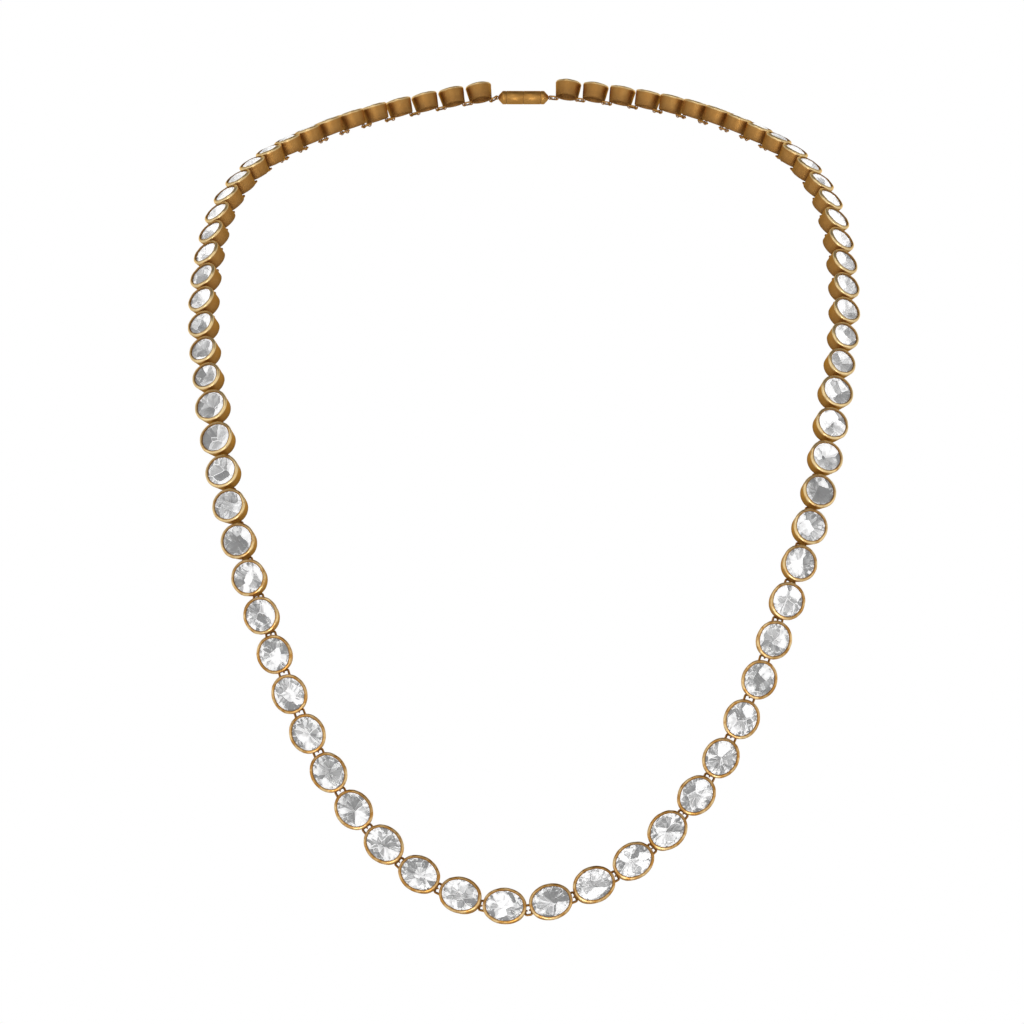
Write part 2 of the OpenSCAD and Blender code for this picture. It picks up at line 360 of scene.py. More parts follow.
class Form:
    """A form whose points are sums of shares of an item's sizes."""

    def __init__(self, *sizes):
        self.sizes = ("base",) + sizes
        self.shares = []
        self.recess = []
        self.give = []
        self.spread = []
        self.rubbed = []
        self.faces = []
        self.facets = []

    def point(self, shares, recess=0.0, give=0.0, spread=(0.0, 0.0, 0.0), rubbed=0.0):
        self.shares.append([shares.get(size, (0, 0, 0)) for size in self.sizes])
        self.recess.append(recess)
        self.give.append(give)
        self.spread.append(spread)
        self.rubbed.append(rubbed)
        return len(self.shares) - 1

    def face(self, corners, facet=0):
        self.faces.append(corners)
        self.facets.append(facet)

    def skin(self, rows):
        """Quads between rows of points; both directions close on themselves."""
        for i in range(len(rows)):
            for j in range(len(rows[0])):
                n, m = (i + 1) % len(rows), (j + 1) % len(rows[0])
                self.face([rows[i][j], rows[n][j], rows[n][m], rows[i][m]])

    def object(self, name, flat=False):
        mesh = bpy.data.meshes.new(name)
        mesh.from_pydata([(0, 0, 0)] * len(self.shares), [], self.faces)
        shares = np.array(self.shares, dtype=np.float32)
        for i, size in enumerate(self.sizes):
            write(mesh, "share_" + size, "FLOAT_VECTOR", shares[:, i])
        write(mesh, "spread", "FLOAT_VECTOR", np.array(self.spread, dtype=np.float32))
        # Per point: painted shade with patina in the hollows, give to the unevenness, and the rims'
        # painted highlight
        for label in ("recess", "give", "rubbed"):
            write(mesh, label, "FLOAT", np.array(getattr(self, label), dtype=np.float32))
        write(mesh, "facet", "INT", np.array(self.facets, dtype=np.int32), "FACE")
        if flat:
            mesh.shade_flat()
        else:
            mesh.shade_smooth()
        return bpy.data.objects.new(name, mesh)


def total(*parts):
    """The sum of several dicts of shares."""
    return {size: sum(np.array(p.get(size, (0, 0, 0)), float) for p in parts)
            for size in set().union(*parts)}


def oval_shares(t, inset, taper=0.0):
    """A point of a collet's oval of four arcs, by the direction it faces."""
    c, s = math.cos(t), math.sin(t)
    if abs(s) < SIDE_MIDDLE / math.hypot(END_MIDDLE, SIDE_MIDDLE):
        x = math.copysign(END_MIDDLE, c)
        length = (x - (END_MIDDLE - 1) * c, (1 - END_MIDDLE) * s, 0)
        width = (END_MIDDLE * c - x, END_MIDDLE * s, 0)
    else:
        y = math.copysign(SIDE_MIDDLE, s)
        length = (SIDE_MIDDLE * c, SIDE_MIDDLE * s - y, 0)
        width = ((1 - SIDE_MIDDLE) * c, y + (1 - SIDE_MIDDLE) * s, 0)
    return {"base": (inset * c, inset * s, 0), "half_length": length, "half_width": width,
            "taper": (-taper * c, -taper * s, 0)}


def items_cloud(name, items, sizes):
    """A point for each item, which carries the item's directions, sizes and number."""
    mesh = bpy.data.meshes.new(name)
    mesh.from_pydata([tuple(item["at"] * MM) for item in items], [], [])
    for key in PLACING:
        write(mesh, key, "FLOAT_VECTOR", np.array([item[key] for item in items], np.float32))
    for key in sizes:
        write(mesh, key, "FLOAT", np.array([item[key] for item in items], np.float32))
    write(mesh, "number", "INT", np.array([item["number"] for item in items], np.int32))
    cloud = bpy.data.objects.new(name, mesh)
    bpy.context.scene.collection.objects.link(cloud)
    return cloud


def named(graph, name, kind="FLOAT"):
    return graph.node("GeometryNodeInputNamedAttribute", {"data_type": kind}, {"Name": name})


def stringing_tree(name, sizes, layers):
    """Sets a form on each item of the loop, sized and turned as the item asks."""
    tree = bpy.data.node_groups.new(name, "GeometryNodeTree")
    graph = Graph(tree)
    plan = [("Items", "NodeSocketGeometry"), ("Form", "NodeSocketObject"),
            ("Unevenness", "NodeSocketFloat"), ("Unevenness Length", "NodeSocketFloat"),
            ("Seed", "NodeSocketInt")]
    plan += [(f"Finish {i + 1}", "NodeSocketMaterial") for i in range(len(layers))]
    for label, kind in plan:
        tree.interface.new_socket(label, in_out="INPUT", socket_type=kind)
    tree.interface.new_socket("Piece", in_out="OUTPUT", socket_type="NodeSocketGeometry")
    entry = tree.nodes.new("NodeGroupInput")
    given = {s.name: Value(graph, s) for s in entry.outputs}

    form = graph.node("GeometryNodeObjectInfo", None, {"Object": given["Form"]}, "Geometry")
    strung = graph.node("GeometryNodeInstanceOnPoints", None,
                        {"Points": given["Items"], "Instance": form})
    strung = graph.node("GeometryNodeRealizeInstances", None, {0: strung})

    # The point's place in the item's own frame, then in the necklace's
    place = named(graph, "share_base", "FLOAT_VECTOR")
    for size in sizes:
        share = named(graph, "share_" + size, "FLOAT_VECTOR")
        place = graph.vector("ADD", place, graph.vector("SCALE", share, named(graph, size)))
    middle, *directions = PLACING
    spot = named(graph, middle, "FLOAT_VECTOR")
    for direction, axis in zip(directions, "XYZ"):
        step = graph.vector("SCALE", named(graph, direction, "FLOAT_VECTOR"), graph.part(place, axis))
        spot = graph.vector("ADD", spot, step)

    # The unevenness of handwork, as far as each point gives way to it
    noise = graph.node("ShaderNodeTexNoise", {"noise_dimensions": "4D"}, {
        "Vector": spot, "W": given["Seed"], "Detail": 1.0,
        "Scale": graph.math("DIVIDE", 1.0, given["Unevenness Length"])}, "Color")
    lean = graph.vector("SUBTRACT", noise, (0.5, 0.5, 0.5))
    lean = graph.vector("SCALE", lean, given["Unevenness"] * named(graph, "give"))
    spot = graph.vector("SCALE", graph.vector("ADD", spot, lean), MM)
    strung = graph.node("GeometryNodeSetPosition", None, {"Geometry": strung, "Position": spot})

    for i, layer in enumerate(layers):
        chosen = {} if layer is None else {"Selection": graph.node(
            "FunctionNodeCompare", {"data_type": "INT", "operation": "GREATER_EQUAL"},
            {2: named(graph, "facet", "INT"), 3: layer})}
        strung = graph.node("GeometryNodeSetMaterial", None, {
            "Geometry": strung, "Material": given[f"Finish {i + 1}"], **chosen})
    graph.node("NodeGroupOutput", None, {"Piece": strung})
    return tree


# The collets and their eyes

# The collet's section, from the foot up the outside, over the rim and down the inside:
# distance in from the outer edge, height, painted shade with patina (deeper towards the foot, under the
# lip and inside) and give to the unevenness
SECTION = [
    (0, -2.93, 0.85, 0.3), (0, -2.3, 0.65, 0.6), (0, -1.6, 0.5, 0.6), (0, -1.0, 0.45, 0.6),
    (0, -0.55, 0.45, 0.7), (0, -0.37, 0.1, 0.8), (-0.02, -0.27, 0, 0.9), (-0.06, -0.18, 0, 1),
    (-0.12, -0.11, 0, 1), (-0.2, -0.065, 0, 1), (-0.29, -0.03, 0.08, 1), (-0.37, -0.005, 0.2, 1),
    (-0.44, 0.005, 0.4, 1.3), (-0.5, -0.005, 0.7, 1.5), (-0.545, -0.035, 0.95, 1.5),
    (-0.575, -0.075, 0.9, 1.4), (-0.59, -0.13, 1, 0.8), (-0.6, -0.2, 1, 0.5),
    (-0.4, -0.3, 1, 0), (-0.4, -0.66, 1, 0), (-0.6, -0.86, 1, 0),
    (-0.522, -1.5, 0.9, 0), (-0.437, -2.2, 0.8, 0), (-0.347, -2.94, 0.8, 0),
    (-0.3, -3.0, 0.7, 0.2), (-0.04, -3.0, 0.8, 0.3),
]
COLLET_STEPS = 56
# The rows of the inner wall, which tapers from its own top down
INNER_ROWS = range(20, 24)
# Where the rims get a painted highlight, a pale band: the middle and width of that band, and how far
# down it goes
HIGHLIGHT_INSET = -0.18
HIGHLIGHT_WIDTH = 0.2
HIGHLIGHT_DOWN_TO = -0.5
# An eye's section: share of its rim outwards, and distance across
EYE_SECTION = [(0, -0.08), (0, 0.08), (0.25, 0.13), (0.75, 0.13), (1, 0.08), (1, -0.08),
               (0.75, -0.13), (0.25, -0.13)]
EYE_STEPS = 20
# Painted shade on the eyes: deeper over their hole and faces than on their outer edge
EYE_DARK, EYE_EDGE_DARK = 0.5, 0.25


def eye_rows(form, end, height=0.0, hangs=False):
    """A flat ring that stands along the loop, its middle, or its hole's top, at a height."""
    rows = []
    for i in range(EYE_STEPS):
        turn = 2 * math.pi * i / EYE_STEPS
        c, s = math.cos(turn), math.sin(turn)
        row = []
        for share, across in EYE_SECTION:
            rim = EYE_RIM * share
            row.append(form.point({
                "base": (rim * c, across, height + rim * s),
                "eye_radius": (c, 0, s - hangs), "eye_out": (end, 0, 0)},
                EYE_DARK if share < 1 else EYE_EDGE_DARK))
        rows.append(row)
    form.skin(rows)


def setting_form():
    """A collet with its two soldered eyes."""
    form = Form("half_length", "half_width", "taper", "eye_radius", "eye_out")
    rows = []
    for i in range(COLLET_STEPS):
        turn = 2 * math.pi * i / COLLET_STEPS
        row = []
        for j, (inset, z, recess, give) in enumerate(SECTION):
            top = SECTION[INNER_ROWS[0]][1] if j in INNER_ROWS else EDGE_Z
            taper = min(1, max(0, (top - z) / (COLLET_H + top)))
            spot = total(oval_shares(turn, inset, taper), {"base": (0, 0, z)})
            # The share of the rims' painted highlight at this point of the section
            off_band = (inset - HIGHLIGHT_INSET) / HIGHLIGHT_WIDTH
            rubbed = math.exp(-off_band ** 2) if z > HIGHLIGHT_DOWN_TO else 0
            row.append(form.point(spot, recess, give, rubbed=rubbed))
        rows.append(row)
    form.skin(rows)
    for end in (-1, 1):
        eye_rows(form, end, -COLLET_H - EYE_SEAT, hangs=True)
    return form.object("setting_form")


# The cut stones

GIRDLE_REACH = 0.08
GIRDLE_TOP = -0.39
GIRDLE_LOW = -0.49
CROWN_H = 0.5
# The table's reach as a share of the girdle's, the stars' way in towards the table and up
# the crown, the pavilion's depth as a share of the stone's width, and the shoulders' reach
# as a share of the girdle's and their way down to the culet
TABLE_SHARE = 0.58
STAR_SHARE = 0.42
STAR_HEIGHT = 0.58
PAVILION_SHARE = 0.36
SHOULDER_SHARE = 0.24
SHOULDER_DEPTH = 0.78
MAINS = 8
TABLE_GIVE, STAR_GIVE = 0.3, 0.2
# Facet marks, by which the two finishes are given
CROWN, PAVILION = 0, 1


def stone_form():
    """A cut stone: table, stars, mains and halves above the girdle, mains and halves below."""
    form = Form("half_length", "half_width")
    inset = GIRDLE_REACH - RIM_W
    half_step = 180 / MAINS

    def ring(share, height, first, count, deep=0.0, give=0.0):
        made = []
        for i in range(count):
            turn = math.radians(first + 360 / count * i)
            spot = oval_shares(turn, inset)
            spot = {size: np.array(v) * share for size, v in spot.items()}
            low = {"base": (0, 0, height - 2 * PAVILION_SHARE * inset * deep),
                   "half_width": (0, 0, -2 * PAVILION_SHARE * deep)}
            made.append(form.point(total(spot, low), 0, give,
                                   (share * math.cos(turn), share * math.sin(turn), 0)))
        return made

    star_reach = 1 - STAR_SHARE * (1 - TABLE_SHARE)
    table = ring(TABLE_SHARE, GIRDLE_TOP + CROWN_H, 0, MAINS, give=TABLE_GIVE)
    stars = ring(star_reach, GIRDLE_TOP + STAR_HEIGHT * CROWN_H, half_step, MAINS, give=STAR_GIVE)
    upper = ring(1, GIRDLE_TOP, 0, 2 * MAINS)
    lower = ring(1, GIRDLE_LOW, 0, 2 * MAINS)
    shoulders = ring(SHOULDER_SHARE, GIRDLE_LOW, half_step, MAINS, deep=SHOULDER_DEPTH, give=1)
    culet = ring(0, GIRDLE_LOW, 0, 1, deep=1, give=1)[0]
    form.face(table, CROWN)
    for i in range(MAINS):
        after, before = (i + 1) % MAINS, (i - 1) % MAINS
        here, between, there = 2 * i, 2 * i + 1, (2 * i + 2) % (2 * MAINS)
        form.face([table[i], stars[i], table[after]], CROWN)
        form.face([table[i], stars[before], upper[here], stars[i]], CROWN)
        form.face([stars[i], upper[here], upper[between]], CROWN)
        form.face([stars[i], upper[between], upper[there]], CROWN)
        form.face([culet, shoulders[i], lower[here], shoulders[before]], PAVILION)
        form.face([shoulders[i], lower[between], lower[here]], PAVILION)
        form.face([shoulders[i], lower[there], lower[between]], PAVILION)
    for i in range(2 * MAINS):
        after = (i + 1) % (2 * MAINS)
        form.face([upper[i], lower[i], lower[after], upper[after]], CROWN)
    return form.object("stone_form", flat=True)


# The links and the clasp

CORNER_STEPS = 4
WIRE_STEPS = 12
# Painted shade on the links' wire, deepest on its inner side
WIRE_DARK = 0.6

CLASP_STEPS = 40
LINE_DEPTH = 0.05
# Painted shade with patina: deep in the turned lines, slight over the rest of the barrel
LINE_DARK, BARREL_DARK = 0.7, 0.15
CLASP_GIVE = 0.6
# The barrel's outline. Turned lines, as place and share of their depth: the one at the
# middle is placed from the middle, the other from the end. Then the tip's places and radii
MIDDLE_LINE = [(0, 1), (0.05, 1), (0.09, 0)]
END_LINE = [(1.6, 0), (1.56, 1), (1.46, 1), (1.42, 0), (0.92, 0)]
TIP = [(0.78, 1.27), (0.1, 0.53), (0.02, 0.44), (0, 0.36)]


def link_form():
    """A rounded oblong of round wire."""
    form = Form("length", "wire")
    rows = []
    for quarter, (sx, sy) in enumerate([(1, 1), (-1, 1), (-1, -1), (1, -1)]):
        for step in range(CORNER_STEPS + 1):
            turn = math.radians(90 * (quarter + step / CORNER_STEPS))
            c, s = math.cos(turn), math.sin(turn)
            row = []
            for i in range(WIRE_STEPS):
                round_turn = 2 * math.pi * i / WIRE_STEPS
                near, up = math.cos(round_turn) / 2, math.sin(round_turn) / 2
                # Painted shade: the wire is darker on its inner side, towards the middle of the link
                row.append(form.point({
                    "base": (LINK_CORNER * (c - sx), LINK_CORNER * (s - sy) + sy * LINK_W / 2, 0),
                    "length": (sx / 2, 0, 0), "wire": (c * near, s * near, up)},
                    WIRE_DARK - near, 1))
            rows.append(row)
    form.skin(rows)
    return form.object("link_form")


def clasp_form():
    """A plain closed barrel, turned lines at its middle and near its ends, an eye at each end."""
    form = Form("eye_radius", "eye_out")
    h, r = CLASP_L / 2, CLASP_D / 2
    half = [(x, r - LINE_DEPTH * deep) for x, deep in MIDDLE_LINE]
    half += [(h - x, r - LINE_DEPTH * deep) for x, deep in END_LINE]
    half += [(h - x, radius) for x, radius in TIP]
    outline = [(-x, radius) for x, radius in half[:0:-1]] + half
    rings = []
    for x, radius in outline:
        # Painted shade with patina, deeper in the turned lines
        dark = LINE_DARK if radius == r - LINE_DEPTH else BARREL_DARK
        ring = []
        for i in range(CLASP_STEPS):
            turn = 2 * math.pi * i / CLASP_STEPS
            spot = (x, radius * math.cos(turn), radius * math.sin(turn))
            ring.append(form.point({"base": spot}, dark, CLASP_GIVE))
        rings.append(ring)
    for near, far in zip(rings, rings[1:]):
        for i in range(CLASP_STEPS):
            n = (i + 1) % CLASP_STEPS
            form.face([near[i], near[n], far[n], far[i]])
    form.face(rings[0][::-1])
    form.face(rings[-1])
    for end in (-1, 1):
        eye_rows(form, end)
    return form.object("clasp_form")


# Finishes

# Brown of the painted shade with patina in the hollows
SHADE_AND_PATINA_BROWN = (0.13, 0.065, 0.03)
GOLD_GLANCE = (0.95, 0.7, 0.36)
CLOUD_SIZE = 1.3
GRAIN_SIZE = 0.22
WEAR_SIZE = 0.5
STONE_IOR = 1.55
# The pavilion's patchwork of painted reflections: cells to a stone's half width, how far its wedges are
# drawn out from the middle, and the steps that part one stone's cut, and one pattern, from the next
LARGE_CELLS, MEDIUM_CELLS, SMALL_CELLS = 1.4, 2.1, 7.0
WEDGE_SPREAD = 0.9
STONE_STEP, PATTERN_STEP = 3.7, 0.31


def finish_graph(name):
    material = bpy.data.materials.new(name)
    material.use_nodes = True
    return material, Graph(material.node_tree)


def surface(graph, **sockets):
    """The shader and the output, with sockets named as Blender names them."""
    values = {name.replace("_", " ").title().replace("Ior", "IOR"): v for name, v in sockets.items()}
    shader = graph.node("ShaderNodeBsdfPrincipled", None, values, "BSDF")
    graph.node("ShaderNodeOutputMaterial", None, {"Surface": shader})


def noise_on(graph, spot, size_mm, detail=2.0):
    """Noise with features of about that size on the piece's own coordinates."""
    return graph.node("ShaderNodeTexNoise", None, {
        "Vector": spot, "Scale": 1 / (size_mm * MM), "Detail": detail}, "Fac")


def share_up(graph, first, rate):
    """Nought for the items up to that place from the front, then rising to one up the strand."""
    place = graph.math("MODULO", graph.carried("number"), SIDE_NUMBERS)
    return graph.clamped((place - first) * rate)


def greys(*stops):
    """A ramp's stops, each a place and a grey level."""
    return [(place, (level, level, level)) for place, level in stops]


def gold_with_painted_light(looks):
    """Gold with painted light: a painted highlight on the rims' outer edges, and painted shade with
    patina, brown in the hollows.
    """
    material, graph = finish_graph("gold_with_painted_light")
    spot = graph.node("ShaderNodeTexCoord", None, None, "Object")
    recess, rubbed = graph.carried("recess"), graph.carried("rubbed")
    cloudy = noise_on(graph, spot, CLOUD_SIZE, 3.0)
    grain = noise_on(graph, spot, GRAIN_SIZE)
    # Painted highlight: the smaller settings, higher up the strands, get paler rims
    upper = share_up(graph, 9, 0.12)
    worn = graph.clamped((cloudy - 0.42) * 2.2)
    tone = graph.mix(worn, tuple(looks.deep_gold), tuple(looks.bright_gold))
    # Painted highlight: a pale band on the rims' outer edges, broken up by the clouds
    pale = graph.clamped(rubbed * (cloudy * 4.5 - 1.85 + upper * 1.5))
    tone = graph.mix(pale, tone, tuple(looks.highlight_gold))
    # Painted shade with patina: brown in the hollows, with random darker clouds over all
    shade_and_patina = graph.clamped(recess * (grain * 0.7 + 0.55) + (cloudy - 0.5) * 0.5)
    tone = graph.mix(shade_and_patina * looks.shade_and_patina, tone, SHADE_AND_PATINA_BROWN)
    relief = graph.node("ShaderNodeBump", None, {
        "Strength": 0.3, "Distance": 0.03 * MM, "Height": grain * 0.7 + cloudy * 1.6})
    # Roughness: the hollows are duller, and the band of painted highlight on the rims smoother
    dull = graph.clamped(0.3 + cloudy * 0.16 + grain * 0.05 + recess * 0.22 - rubbed * 0.12)
    surface(graph, base_color=tone, metallic=1.0, roughness=dull, specular_tint=GOLD_GLANCE,
            normal=relief)
    return material


def clear_crown(looks):
    """The polished upper facets, through which the lower ones show."""
    material, graph = finish_graph("clear_crown")
    spot = graph.node("ShaderNodeTexCoord", None, None, "Object")
    wear = noise_on(graph, spot, WEAR_SIZE)
    surface(graph, base_color=graph.mix(wear, (0.97, 0.98, 1.0), (1.0, 1.0, 1.0)),
            roughness=wear * 0.04, transmission_weight=1.0, ior=STONE_IOR)
    return material


def bright_pavilion(looks):
    """The lower facets: painted reflections in a patchwork of white and grey, finer towards the girdle,
    lit further by a painted glow.
    """
    material, graph = finish_graph("bright_pavilion")
    spread = graph.carried("spread", "Vector")
    rim = graph.node("ShaderNodeVectorMath", {"operation": "LENGTH"}, {0: spread}, "Value")
    own = graph.carried("number") * STONE_STEP + looks.pattern * PATTERN_STEP
    spot = graph.vector("ADD", spread, graph.node("ShaderNodeCombineXYZ", None, {"Z": own}))
    # Painted light: up the strands a stone's inner side turns white, then all of it, and its cut is
    # plainer
    strand = share_up(graph, 6, 0.11)
    upper = share_up(graph, 15, 0.12)
    fine = 1 - share_up(graph, 7, 0.12) * 0.8

    # Wedges that point to the middle, as a cut stone's facets do
    outward = graph.node("ShaderNodeVectorMath", {"operation": "NORMALIZE"}, {0: spread})
    wedge = graph.vector("ADD", spot, graph.vector("SCALE", outward, WEDGE_SPREAD))
    large, medium = graph.cells(spot, LARGE_CELLS), graph.cells(wedge, MEDIUM_CELLS)
    small = graph.cells(spot, SMALL_CELLS)

    # Painted reflections: each large facet gets its own grey level and a painted shade slanting across
    # it, smaller ones show more at the girdle
    slant = graph.vector("SUBTRACT", large["Color"], (0.5, 0.5, 0.5))
    slant = graph.vector("MULTIPLY", spread, slant)
    slant = graph.part(slant, "X") + graph.part(slant, "Y")
    tone = graph.part(large["Color"], "X") * (0.74 - upper * 0.36) + slant * 0.5
    tone = tone + (graph.part(medium["Color"], "X") - 0.5) * (rim * 0.5 + 0.13) * (fine * 0.7 + 0.3)
    girdle = graph.clamped((rim - 0.55) * 2.5)
    tone = tone + (graph.part(small["Color"], "X") - 0.5) * girdle * fine * 1.1

    # Painted light on the inner side up the strands, and painted shade on the middles lower down
    inward = graph.math("MAXIMUM", graph.part(large["Position"], "Y"), upper * 0.9 - 1)
    tone = tone + inward * strand * 0.5 + upper * 0.41 - 0.02
    tone = tone - (1 - rim) * (1 - upper) * 0.22
    tone = tone + graph.part(spread, "Y") * upper * 0.2

    # Painted highlights and painted shade: bright or dark lines where the facets meet
    line = graph.clamped(1.2 - graph.edges(spot, LARGE_CELLS) * 26)
    line = line * graph.part(large["Color"], "Z")
    tone = tone + line * (graph.part(large["Color"], "Y") * 1.6 - 0.6)
    thin = graph.clamped(1.2 - graph.edges(wedge, MEDIUM_CELLS) * 22)
    thin = thin * (graph.part(medium["Color"], "Z") - 0.45)
    tone = tone + thin * fine * 1.5

    stops = greys((0, 0.22), (0.08, 0.34), (0.17, 0.39), (0.31, 0.5), (0.43, 0.72), (0.5, 0.99))
    level = graph.node("ShaderNodeValToRGB", {"stops": stops}, {0: tone})
    # A painted glow: the facets give off their own grey level as light
    surface(graph, base_color=level, roughness=0.16, emission_color=level,
            emission_strength=looks.painted_glow)
    return material


def pale_floor():
    """The studio's floor, a little uneven in tone."""
    material, graph = finish_graph("pale_floor")
    spot = graph.node("ShaderNodeTexCoord", None, None, "Object")
    pale = graph.mix(noise_on(graph, spot, 80), (0.9, 0.9, 0.9), (0.93, 0.93, 0.925))
    surface(graph, base_color=pale, roughness=0.6, emission_color=pale, emission_strength=0.18)
    return material


# Sizes and colours that a user would change


class NecklaceGold(bpy.types.PropertyGroup):
    bright_gold: FloatVectorProperty(
        name="Bright Gold", description="Colour of the rubbed metal", subtype="COLOR",
        default=(0.78, 0.43, 0.12), min=0, max=1)
    # Colour of the rims' painted highlight
    highlight_gold: FloatVectorProperty(
        name="Rubbed Gold", description="Colour of the rims' polished outer edges", subtype="COLOR",
        default=(0.98, 0.74, 0.38), min=0, max=1)
    deep_gold: FloatVectorProperty(
        name="Deep Gold", description="Colour of the duller metal", subtype="COLOR",
        default=(0.56, 0.28, 0.07), min=0, max=1)
    # How strong the painted shade with patina in the hollows is
    shade_and_patina: FloatProperty(
        name="Patina", description="How dark the recesses are", subtype="FACTOR",
        default=0.75, min=0, max=1)
    unevenness: FloatProperty(
        name="Unevenness", description="How far the hand-rubbed rims wander, in millimetres",
        default=0.16, min=0, max=0.2)


class NecklaceStones(bpy.types.PropertyGroup):
    # Strength of the lower facets' painted glow
    painted_glow: FloatProperty(
        name="Inner Light", description="Light that the lower facets add of their own",
        default=0.54, min=0, max=1)
    pattern: IntProperty(
        name="Pattern", description="Which facets are bright and which are grey",
        default=31, min=0, max=999)


class NecklaceStudio(bpy.types.PropertyGroup):
    camera_distance: FloatProperty(
        name="Camera Distance", description="From the camera to the front of the necklace",
        subtype="DISTANCE", default=1.2, min=0.3, max=5)
    frame_width: FloatProperty(
        name="Frame Width", description="Width that the picture shows at the front of the necklace",
        subtype="DISTANCE", default=0.1823, min=0.05, max=1)
    floor_z: FloatProperty(
        name="Floor Height", description="Height of the floor, with the nape at nought",
        subtype="DISTANCE", default=-0.45, min=-1, max=-0.16)
    floor_radius: FloatProperty(
        name="Floor Radius", description="Radius of the round floor",
        subtype="DISTANCE", default=1.5, min=0.3, max=5)


# Making the pieces


def make_piece(name, items, form, sizes, finishes, node, wander, wave, seed=WAVE_SEED):
    """Strings a form on its items, turns the result into one plain mesh and hands it to the frame."""
    cloud = items_cloud(name, items, sizes)
    tree = stringing_tree(name + "_tree", sizes, [layer for _, layer in finishes])
    keys = {s.name: s.identifier for s in tree.interface.items_tree}
    change = cloud.modifiers.new("Stringing", "NODES")
    change.node_group = tree
    change[keys["Form"]] = form
    change[keys["Unevenness"]] = wander
    change[keys["Unevenness Length"]] = wave
    change[keys["Seed"]] = seed
    for i, (finish, _) in enumerate(finishes):
        change[keys[f"Finish {i + 1}"]] = finish
    ready = cloud.evaluated_get(bpy.context.evaluated_depsgraph_get())
    mesh = bpy.data.meshes.new_from_object(ready)
    cloud.modifiers.remove(change)
    bare = cloud.data
    cloud.data = mesh
    mesh.name = name
    bpy.data.meshes.remove(bare)
    bpy.data.node_groups.remove(tree)
    spent = {*PLACING, *sizes, "give", "facet"}
    for label in [a.name for a in mesh.attributes]:
        if label.startswith("share_") or label in spent:
            mesh.attributes.remove(mesh.attributes[label])
    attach(cloud, "root")
    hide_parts(node)


def shared_finish(maker, looks):
    return bpy.data.materials.get(maker.__name__) or maker(looks)


def put_away(form):
    mesh = form.data
    bpy.data.objects.remove(form)
    bpy.data.meshes.remove(mesh)


class NECKLACE_OT_settings(bpy.types.Operator):
    """Makes the gold collets with their eyes"""
    bl_idname = "necklace.settings"
    bl_label = "Make Settings"

    def execute(self, context):
        looks = context.scene.necklace_gold
        gold = shared_finish(gold_with_painted_light, looks)
        form = setting_form()
        sizes = ("half_length", "half_width", "taper", "eye_radius", "eye_out")
        for word, side in (("right", 1), ("left", -1)):
            items = [COLLETS[side, k] for k in range(1, STONES_EACH_SIDE + 1)]
            make_piece(word + "_collets", items, form, sizes, [(gold, None)], word + "_settings",
                       looks.unevenness, RIM_WAVE)
        put_away(form)
        return {"FINISHED"}


class NECKLACE_OT_stones(bpy.types.Operator):
    """Makes the cut stones, clear above and bright or grey below"""
    bl_idname = "necklace.stones"
    bl_label = "Make Stones"

    def execute(self, context):
        looks = context.scene.necklace_stones
        finishes = [(shared_finish(clear_crown, looks), None),
                    (shared_finish(bright_pavilion, looks), PAVILION)]
        form = stone_form()
        for word, side in (("right", 1), ("left", -1)):
            items = [COLLETS[side, k] for k in range(1, STONES_EACH_SIDE + 1)]
            make_piece(word + "_cut_stones", items, form, ("half_length", "half_width"), finishes,
                       word + "_stones", FACET_WANDER, FACET_WAVE, looks.pattern)
        put_away(form)
        return {"FINISHED"}


class NECKLACE_OT_links(bpy.types.Operator):
    """Makes the wire links between the settings"""
    bl_idname = "necklace.links"
    bl_label = "Make Links"

    def execute(self, context):
        gold = shared_finish(gold_with_painted_light, context.scene.necklace_gold)
        form = link_form()
        for word, side in (("right", 1), ("left", -1)):
            make_piece(word + "_wire_links", links_of(side), form, ("length", "wire"),
                       [(gold, None)], word + "_links", LINK_WANDER, LINK_WAVE)
        put_away(form)
        return {"FINISHED"}


class NECKLACE_OT_clasp(bpy.types.Operator):
    """Makes the plain barrel clasp at the nape"""
    bl_idname = "necklace.clasp"
    bl_label = "Make Clasp"

    def execute(self, context):
        gold = shared_finish(gold_with_painted_light, context.scene.necklace_gold)
        form = clasp_form()
        make_piece("barrel_clasp", [CLASP], form, ("eye_radius", "eye_out"), [(gold, None)],
                   "clasp", CLASP_WANDER, CLASP_WAVE)
        put_away(form)
        return {"FINISHED"}


# The studio, in metres

FLOOR_SIDES = 96
NECKLACE_MIDDLE = (0, -0.06, -0.075)
# The soft lights: place, size, watts and colour
LIGHTS = [
    ("key_light", (-0.5, -1.6, 1.5), 1.4, 4, (1, 0.98, 0.95)),
    ("left_light", (-1.3, -0.75, 0), 0.8, 0.8, (1, 1, 1)),
    ("right_light", (1.3, -0.75, 0), 0.8, 0.8, (1, 1, 1)),
    ("low_light", (0, -0.9, -0.42), 0.35, 1.9, (1, 0.99, 0.96)),
]
# The surroundings' glow, from straight below to straight above
GLOW = greys((0, 1), (0.5, 1), (0.64, 0.8), (0.84, 0.58), (0.93, 0.3)) + [(1, (0.14, 0.14, 0.15))]
# What the camera looks at, on the necklace's front
VIEW_X, VIEW_FRONT, VIEW_Z = -0.0022, -0.1025, -0.0788
SENSOR_MM = 36
SEEN_FROM, SEEN_TO = 0.05, 20


def set_floor(looks):
    rim = []
    for i in range(FLOOR_SIDES):
        turn = 2 * math.pi * i / FLOOR_SIDES
        rim.append((looks.floor_radius * math.cos(turn), looks.floor_radius * math.sin(turn),
                    looks.floor_z))
    mesh = bpy.data.meshes.new("floor")
    mesh.from_pydata(rim, [], [list(range(FLOOR_SIDES))])
    mesh.materials.append(pale_floor())
    floor = bpy.data.objects.new("floor", mesh)
    bpy.context.scene.collection.objects.link(floor)


